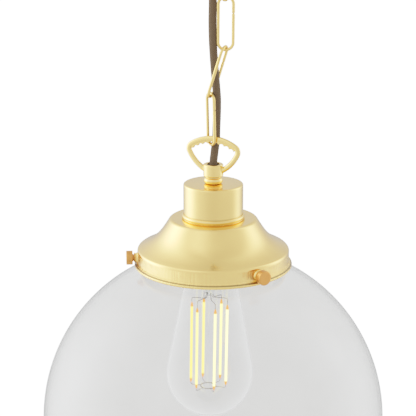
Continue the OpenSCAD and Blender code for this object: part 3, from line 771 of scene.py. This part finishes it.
def make_gallery():
    bead = arc(SKIRT_R + 0.9, LIP_H + BEAD_R, BEAD_R, 135, 405, 24)
    outer = gallery_outline()
    inner = inset(outer, -SHEET)
    drill, drill_faces = lathe([(0, 50), (HOLE_R, 50), (HOLE_R, 58), (0, 58)], 48)
    drills = [(outwards(azimuth)(drill), drill_faces) for azimuth in AZIMUTHS]
    verts, faces = cut_holes(*lathe(bead + outer[2:] + inner[::-1], 256), drills)
    piece("gallery_spun", verts, faces, "brass_gallery", "lamp", ["gallery"], 32)


make_gallery()

# ---------------------------------------------------------------- bushes and thumb screws

BUSH_R, BUSH_LEN, SHANK_R = 3.5, 2.6, 2.0
HEAD_R, HEAD_LEN, NECK_LEN = 5.1, 4.6, 0.9
SCREW_ROOT, SCREW_PITCH = 1.62, 0.7
SHANK_BACK = 8  # how far the shank reaches in from the bush's outer face


def thread(r_root, r_crest, z0, z1, pitch, segs, per_turn=14):
    """Rows of a threaded wall from z0 to z1, its crest climbing one pitch each turn."""
    rows = max(3, int((z1 - z0) / pitch * per_turn))
    z = np.linspace(z0, z1, rows)[:, None]
    a = TAU * np.arange(segs) / segs
    wave = 0.5 + 0.5 * np.cos(TAU * (z / pitch - a[None] / TAU))
    fade = np.clip(np.minimum(z - z0, z1 - z) / pitch, 0, 1)
    r = r_root + (r_crest - r_root) * (1 - fade + fade * wave)
    return np.stack([r * np.cos(a), r * np.sin(a), np.broadcast_to(z, r.shape)], -1)


def ring_rows(points, segs):
    a = TAU * np.arange(segs) / segs
    return np.array([np.stack([r * np.cos(a), r * np.sin(a), np.full(segs, z)], 1)
                     for r, z in points])


def stacked(rows, caps=True, closed=False):
    """Verts and faces of rows of points, as sweep() returns."""
    rows = np.concatenate(rows)
    return rows.reshape(-1, 3), grid(len(rows), rows.shape[1], closed, caps)


def bush_profile(base):
    """A small turned bush with two rolls, from its face on the skirt outwards."""
    return ([(SHANK_R + 0.06, base), (BUSH_R + 0.5, base), (BUSH_R + 0.22, base + 0.42)]
            + arc(BUSH_R - 0.15, base + 1.35, 0.2, -60, 90, 4)
            + [(BUSH_R - 0.45, base + 1.65), (BUSH_R - 0.45, base + 1.85)]
            + arc(BUSH_R - 0.2, base + 2.2, 0.3, -70, 60, 5)
            + [(BUSH_R - 0.35, base + 2.62), (BUSH_R - 0.5, base + 2.85),
               (SHANK_R + 0.4, base + 2.85), (SHANK_R + 0.06, base + 2.55)])


def screw_rows(tip, head):
    """A thumb screw: the spigot under its soft sleeve, thread, neck and hollow-faced head."""
    face, segs = head + HEAD_LEN, 72
    spigot = [(0.6, tip - 1.55), (1.0, tip - 1.4), (1.0, tip), (SCREW_ROOT, tip)]
    drum = [(2.4, head - 0.8), (2.45, head - 0.4), (2.55, head - 0.05), (2.7, head),
            (HEAD_R - 0.45, head), (HEAD_R - 0.12, head + 0.12), (HEAD_R, head + 0.45),
            (HEAD_R - 0.04, head + 1.5), (HEAD_R - 0.04, head + 2.8), (HEAD_R, face - 0.6),
            (HEAD_R - 0.1, face - 0.25), (HEAD_R - 0.42, face - 0.02), (HEAD_R - 1.0, face),
            (HEAD_R - 2.4, face - 0.04), (0.9, face - 0.07), (0.25, face - 0.12)]
    shank = thread(SCREW_ROOT, SHANK_R, tip + 0.05, head - 0.95, SCREW_PITCH, segs)
    return [ring_rows(spigot, segs), shank, ring_rows(drum, segs)]


for k, azimuth in enumerate(AZIMUTHS):
    out = outwards(azimuth)
    turned(f"bush_{k}", bush_profile(SKIRT_R - 0.25), "brass_part", "lamp", ["screw_bushes"],
           72, 30, out)
    verts, faces = stacked(screw_rows(SKIRT_R + BUSH_LEN - SHANK_BACK,
                                      SKIRT_R + BUSH_LEN + NECK_LEN))
    piece(f"thumb_screw_turned_{k}", out(verts), faces, "bronze", f"screw_{k}",
          [f"thumb_screw_{k}"], 34)

# ---------------------------------------------------------------- glass globe

GLOBE_R, WALL, NECK_R, FLANGE_R, FILLET = 125.0, 2.8, 46.0, 50.6, 4.0
FLANGE_LOW, FLANGE_HIGH = 126.4, 129.7


def globe_profile():
    r_in = GLOBE_R - WALL
    turn = math.degrees(math.acos((NECK_R + FILLET) / (GLOBE_R + FILLET)))
    throat_r = NECK_R - WALL
    throat = math.degrees(math.acos(throat_r / r_in))
    fillet_h = (GLOBE_R + FILLET) * math.sin(math.radians(turn))
    n = 96
    outside = (arc(0, 0, GLOBE_R, -90, turn, n)
               + arc(NECK_R + FILLET, fillet_h, FILLET, 180 + turn, 180, 8)[1:]
               + [(NECK_R, FLANGE_LOW - 1.2)]
               + arc(NECK_R + 1.2, FLANGE_LOW - 1.2, 1.2, 180, 90, 5)[1:]
               + arc(FLANGE_R - 1.6, FLANGE_LOW + 1.6, 1.6, -90, 0, 8)
               + arc(FLANGE_R - 1.6, FLANGE_HIGH - 1.6, 1.6, 0, 90, 8)
               + arc(throat_r + 1, FLANGE_HIGH - 1, 1, 90, 180, 6))
    outside[0] = (0.0, -GLOBE_R)
    inside = arc(0, 0, r_in, throat, -90, n)
    inside[-1] = (0.0, -r_in)
    return outside + inside


turned("globe_blown", globe_profile(), "globe_glass", "lamp", ["globe"], 256,
       70)

# ---------------------------------------------------------------- bulb

BULB_R, BULB_C, TAPER, SHOULDER_H = 32.0, 33.3, 10.8, 101.0
CAP_LOW, CAP_R, PIVOT_H, LEAN, SHIFT = 118.6, 13.1, 140.0, 0.9, -0.8
BULB_WALL, CAP_PITCH = 0.8, 3.63
FIL_COUNT, FIL_RING, FIL_LOW, FIL_HIGH, FIL_R, FIL_TURN = 6, 13.1, 24.7, 86.6, 0.95, 18.5
MOUNT_SHIFT = -0.95  # the stem and its wires stand a little to one side of the glass
LEAD_R = 0.24


def in_bulb(v):
    """Leans the bulb about its pivot and moves it over with the lampholder."""
    v = np.asarray(v, float) - [0, 0, PIVOT_H]
    return v @ turn_y(LEAN).T + [SHIFT, 0, PIVOT_H]


def in_mount(v):
    return in_bulb(v) + [MOUNT_SHIFT, 0, 0]


def bulb_profile():
    low = arc(0, BULB_C, BULB_R, -90, TAPER, 60)
    low[0] = (0.0, BULB_C - BULB_R)
    foot = low[-1]
    t = math.radians(TAPER)
    shoulder = (foot[0] - math.tan(t) * (SHOULDER_H - foot[1]), SHOULDER_H)
    straight = [tuple(p) for p in np.linspace(foot, shoulder, 24)]
    neck = cubic([shoulder, (shoulder[0] - 8 * math.sin(t), SHOULDER_H + 8 * math.cos(t)),
                  (12.4, CAP_LOW - 9), (12.4, CAP_LOW - 0.1)], 20)
    outer = low + straight[1:] + neck[1:]
    inner = inset(outer, -BULB_WALL)
    inner[0] = (0.0, BULB_C - BULB_R + BULB_WALL)
    return outer + inner[::-1]


turned("bulb_envelope", bulb_profile(), "bulb_glass", "bulb", ["bulb_glass"],
       192, 60, in_bulb)

stem = ([(0.0, 93.0), (1.9, 93.3), (2.6, 94.6), (2.8, 97.0), (4.3, 100.0)]
        + cubic([(4.5, 103.0), (4.8, CAP_LOW - 7), (8, CAP_LOW - 6), (10.6, CAP_LOW - 2)], 16)
        + [(10.6, CAP_LOW), (9.9, CAP_LOW)]
        + cubic([(9.9, CAP_LOW - 2), (7.2, CAP_LOW - 5), (4.0, CAP_LOW - 6.2), (3.8, 103.0)], 16)
        + [(3.4, 100.4), (0.0, 98.6)])
turned("bulb_stem_glass", stem, "stem_glass", "bulb", ["bulb_stem"], 72, 50,
       in_mount)


def tube(points, r):
    path, _ = smooth_route(points, 0.5)
    start = (0, 1, 0) if abs(tangents(path)[0][0]) > 0.7 else (1, 0, 0)
    return sweep(path, circle(r, 10), carried_sides(path, start))


def bulb_wires():
    parts = []
    for k in range(FIL_COUNT):
        spin = turn_z(FIL_TURN + 60 * k - 90).T
        top = 90.2 if k % 2 == 0 else 91.6
        lead = [(FIL_RING, 0, FIL_HIGH + 0.1), (FIL_RING, 0, top - 0.6), (FIL_RING - 0.5, 0, top),
                (9, 0, top + 0.3), (4.6, 0, top + 0.2), (3.2, 0, top + 0.9), (2.0, 0, 95.5)]
        foot = [(FIL_RING, 0, FIL_LOW - 0.1), (FIL_RING, 0, FIL_LOW - 1.4),
                (FIL_RING - 0.6, 0, FIL_LOW - 2), (9, 0, FIL_LOW - 2.1), (5.7, 0, FIL_LOW - 2)]
        for points in (lead, foot):
            v, f = tube(points, LEAD_R)
            parts.append((v @ spin, f))
    parts.append(lathe(arc(5.6, FIL_LOW - 2, 0.4, 0, 342, 19), 64))
    v, f = join(parts)
    return in_mount(v), f


v, f = bulb_wires()
piece("bulb_wires", v, f, "lead", "bulb", ["filament_wires"], 50)


def make_filaments():
    """Six coated sticks, each a little uneven along its length."""
    rng = np.random.default_rng(7)
    sides, rows = 20, 90
    parts, uv = [], []
    z = np.linspace(FIL_LOW, FIL_HIGH, rows)
    share = (z - FIL_LOW) / (FIL_HIGH - FIL_LOW)
    end = np.clip(np.minimum(share, 1 - share) / 0.035, 0, 1)
    for k in range(FIL_COUNT):
        lumps = np.convolve(rng.normal(0, 1, rows + 8), np.ones(9) / 9, "valid")
        r = FIL_R * (0.5 + 0.5 * end) * (1 + 0.05 * lumps)
        r = np.minimum(r, FIL_R)
        path = np.stack([np.full(rows, FIL_RING), np.zeros(rows), z], 1)
        section = circle(1.0, sides)[None] * r[:, None, None]
        v, f = sweep(path, section, np.repeat([[1.0, 0.0, 0.0]], rows, 0))
        parts.append((v @ turn_z(FIL_TURN + 60 * k - 90).T, f))
        heat = 0.5 + 0.5 * math.cos(math.radians(FIL_TURN + 60 * k - 60))
        uv += [[(heat, share[i])] * 2 + [(heat, share[i + 1])] * 2
               for i in range(rows - 1) for _ in range(sides)]
        uv += [[(heat, 0.0)] * sides, [(heat, 1.0)] * sides]
    v, f = join(parts)
    piece("bulb_filaments", in_mount(v), f, "filament", "bulb", ["filaments"], 60,
          uv=uv)


make_filaments()

cap_rows = [ring_rows([(11.6, CAP_LOW + 18.3), (11.5, CAP_LOW + 10), (11.6, CAP_LOW),
                       (12.35, CAP_LOW), (12.6, CAP_LOW + 0.3), (12.6, CAP_LOW + 1.5)], 96),
            thread(12.25, CAP_R, CAP_LOW + 1.7, CAP_LOW + 19.3, CAP_PITCH, 96, 16),
            ring_rows([(12.2, CAP_LOW + 19.6), (11.6, CAP_LOW + 20.8), (10.5, CAP_LOW + 22),
                       (9.5, CAP_LOW + 22.6), (8.7, CAP_LOW + 22.6), (8.6, CAP_LOW + 21.4),
                       (11.0, CAP_LOW + 18.6)], 96)]
v, f = stacked(cap_rows, caps=False, closed=True)
piece("bulb_cap_rolled", in_bulb(v), f, "cap_metal", "bulb", ["bulb_cap"], 50)

# ---------------------------------------------------------------- ceiling rose

# The rose's own heights are below the ceiling's plane
ROSE_R, ROSE_SKIRT = 52.0, 13.0
ROSE_LOW = -0.06  # everything above this belongs to the ceiling rose, m
rose_deck = GLOBE_Z + UPPER_SEAT + COLLAR_H
rose = ([(ROSE_R, z) for z in np.linspace(0, -ROSE_SKIRT + 0.5, 8)]
        + arc(ROSE_R - 4, -ROSE_SKIRT, 4, 0, -62, 14)
        + cubic([(43, -21.5), (33, -26), (31, -31), (24, -36.6)], 30)
        + arc(19, rose_deck + 4, 4, -62, -90, 8) + [(NIPPLE_R + 0.1, rose_deck)])
cover = turned("rose_cover_spun", [(r, z - GLOBE_Z) for r, z in sheet_profile(rose, SHEET)],
               "brass_gallery", "ceiling", ["rose_cover"], 256, 32)
cover.visible_glossy = False

# ---------------------------------------------------------------- CAD nodes that show as they are

CARRIED = {
    "steel": ["ceiling_bracket", "bracket_nuts", "rose_nipple", "holder_nipple", "holder_nuts",
              "terminal_screws", "bulb_contact"],
    "brass_part": ["terminal_tubes", "earth_screw", "earth_tag", "thread_shell",
                   "centre_contact", "contact_screws"],
    "porcelain": ["terminal_block", "holder_insert"],
    "phenolic": ["holder_body", "shade_ring", "bulb_insulator"],
    "core_brown": ["rose_live_core", "holder_live_core"],
    "core_blue": ["rose_neutral_core", "holder_neutral_core"],
    "core_green": ["rose_earth_core"],
    "sleeve": ["screw_tip_0", "screw_tip_1", "screw_tip_2"],
}
for material, names in CARRIED.items():
    for name in names:
        obj = NODES[name]
        obj.data.materials.clear()
        obj.data.materials.append(MAT[material])
        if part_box(name)[0][2] > ROSE_LOW:
            obj.visible_glossy = False

# ---------------------------------------------------------------- studio

FLOOR_Z, FLOOR_HALF = -3.2, 60
MIDDLE_Z = -0.3  # height of the lamp's middle, where the floor's share of the room is judged
THROUGH = 1.34  # how bright the room looks through the glass
WHITE = 3.3  # how bright the backdrop looks to the camera itself
CARD = rgba(0.93, 0.97, 1.04)
# Soft lights of the room: compass angle from the front towards +X, height angle, their two
# spreads, all in degrees, and strength
LOBES = [(-106, 6, 20, 26, 4.2), (-116, 36, 26, 32, 0.4), (110, 10, 15, 28, 2.1),
         (-42, 5, 18, 40, 0.26), (70, 10, 40, 40, 0.24), (-45, 45, 25, 22, 0.8),
         (-80, -20, 25, 18, 0.4)]
ROOM, SHADE = 1.22, 0.5  # the room all round, and how much less of it is behind the lamp
ABOVE = 0.1  # how much less of it is straight above
TONE_TOP, TONE_KNEE = 3.2, 2.2
TONE_STEPS = (0.03, 0.08, 0.16, 0.25, 0.35, 0.46, 0.58, 0.69, 0.8, 0.9)  # shares of the top


def lobe(s, azimuth, height, centre, centre_height, spread, height_spread):
    """A smooth hump of light about one direction."""
    off = s.math("WRAP", s.math("SUBTRACT", azimuth, centre), 180.0, -180.0)
    across = s.math("POWER", s.math("DIVIDE", off, spread * math.sqrt(2)), 2.0)
    rise = s.math("SUBTRACT", height, centre_height)
    along = s.math("POWER", s.math("DIVIDE", rise, height_spread * math.sqrt(2)), 2.0)
    return s.math("EXPONENT", s.math("MULTIPLY", s.math("ADD", across, along), -1.0))


def room_light(s, direction, emitter):
    """What the lamp sees of the room in a direction. The camera sees plain white, and glass
    shows an even pale grey."""
    way = s.node("VectorMath", {0: direction}, operation="NORMALIZE").outputs[0]
    x, y, z = s.node("SeparateXYZ", {0: way}).outputs
    azimuth = s.math("DEGREES", s.math("ARCTAN2", x, s.math("MULTIPLY", y, -1.0)))
    height = s.math("DEGREES", s.math("ARCSINE", z))
    behind = lobe(s, azimuth, height, 180, -25, 42, 22)
    above = lobe(s, azimuth, height, 0, 85, 200, 18)
    shade_here = s.math("ADD", s.math("MULTIPLY", behind, SHADE),
                        s.math("MULTIPLY", above, ABOVE))
    even = s.math("SUBTRACT", ROOM, shade_here)
    path = s.node("LightPath").outputs
    through = s.math("MULTIPLY", s.spread(x, 1.03, 0.97, (-0.3, 0.3)), THROUGH)
    even = s.math("ADD", even, s.math("MULTIPLY", path["Is Transmission Ray"],
                                      s.math("SUBTRACT", through, even)))
    even = s.math("ADD", even, s.math("MULTIPLY", path["Is Camera Ray"],
                                      s.math("SUBTRACT", WHITE, even)))
    glow = 0.0
    for centre, centre_height, spread, height_spread, strength in LOBES:
        hump = lobe(s, azimuth, height, centre, centre_height, spread, height_spread)
        glow = s.math("ADD", s.math("MULTIPLY", hump, strength), glow)
    direct = s.math("MAXIMUM", path["Is Camera Ray"], path["Is Transmission Ray"])
    glow = s.math("MULTIPLY", glow, s.math("SUBTRACT", 1.0, direct))
    plain = s.node(emitter, {"Color": rgba(1, 1, 1), "Strength": even}).outputs[0]
    card = s.node(emitter, {"Color": CARD, "Strength": glow}).outputs[0]
    return s.node("AddShader", {0: plain, 1: card}).outputs[0]


def make_floor():
    m, s = new_material("floor")
    place = s.node("VectorMath", {0: s.coords(), 1: (0, 0, FLOOR_Z - MIDDLE_Z)}).outputs[0]
    s.output(room_light(s, place, "Emission"))
    mesh = bpy.data.meshes.new("floor")
    corners = [(x * FLOOR_HALF, y * FLOOR_HALF, 0) for x, y in
               ((-1, -1), (1, -1), (1, 1), (-1, 1))]
    mesh.from_pydata(corners, [], [(0, 1, 2, 3)])
    mesh.materials.append(m)
    floor = bpy.data.objects.new("floor", mesh)
    floor.location = (0, 0, FLOOR_Z)
    bpy.context.scene.collection.objects.link(floor)


def make_world():
    world = bpy.data.worlds.new("studio")
    bpy.context.scene.world = world
    world.use_nodes = True
    s = Shader(world.node_tree)
    light = room_light(s, s.node("TexCoord").outputs["Generated"], "Background")
    s.node("OutputWorld", {"Surface": light})


def tone(level):
    """A soft shoulder that runs on straight above the knee."""
    bent = min(level, TONE_KNEE)
    return 1 - math.exp(-bent) * (1 - (level - bent))


def set_tone():
    """A film-like curve for each channel, so that bright brass pales instead of clipping."""
    view = bpy.context.scene.view_settings
    view.view_transform, view.look = "Standard", "None"
    view.exposure, view.gamma = 0.0, 1.0
    view.use_curve_mapping = True
    mapping = view.curve_mapping
    mapping.white_level = (TONE_TOP, TONE_TOP, TONE_TOP)
    curve = mapping.curves[3]
    for x in TONE_STEPS:
        curve.points.new(x, tone(x * TONE_TOP))
    curve.points[-1].location = (1.0, 1.0)
    mapping.update()


make_floor()
make_world()
set_tone()
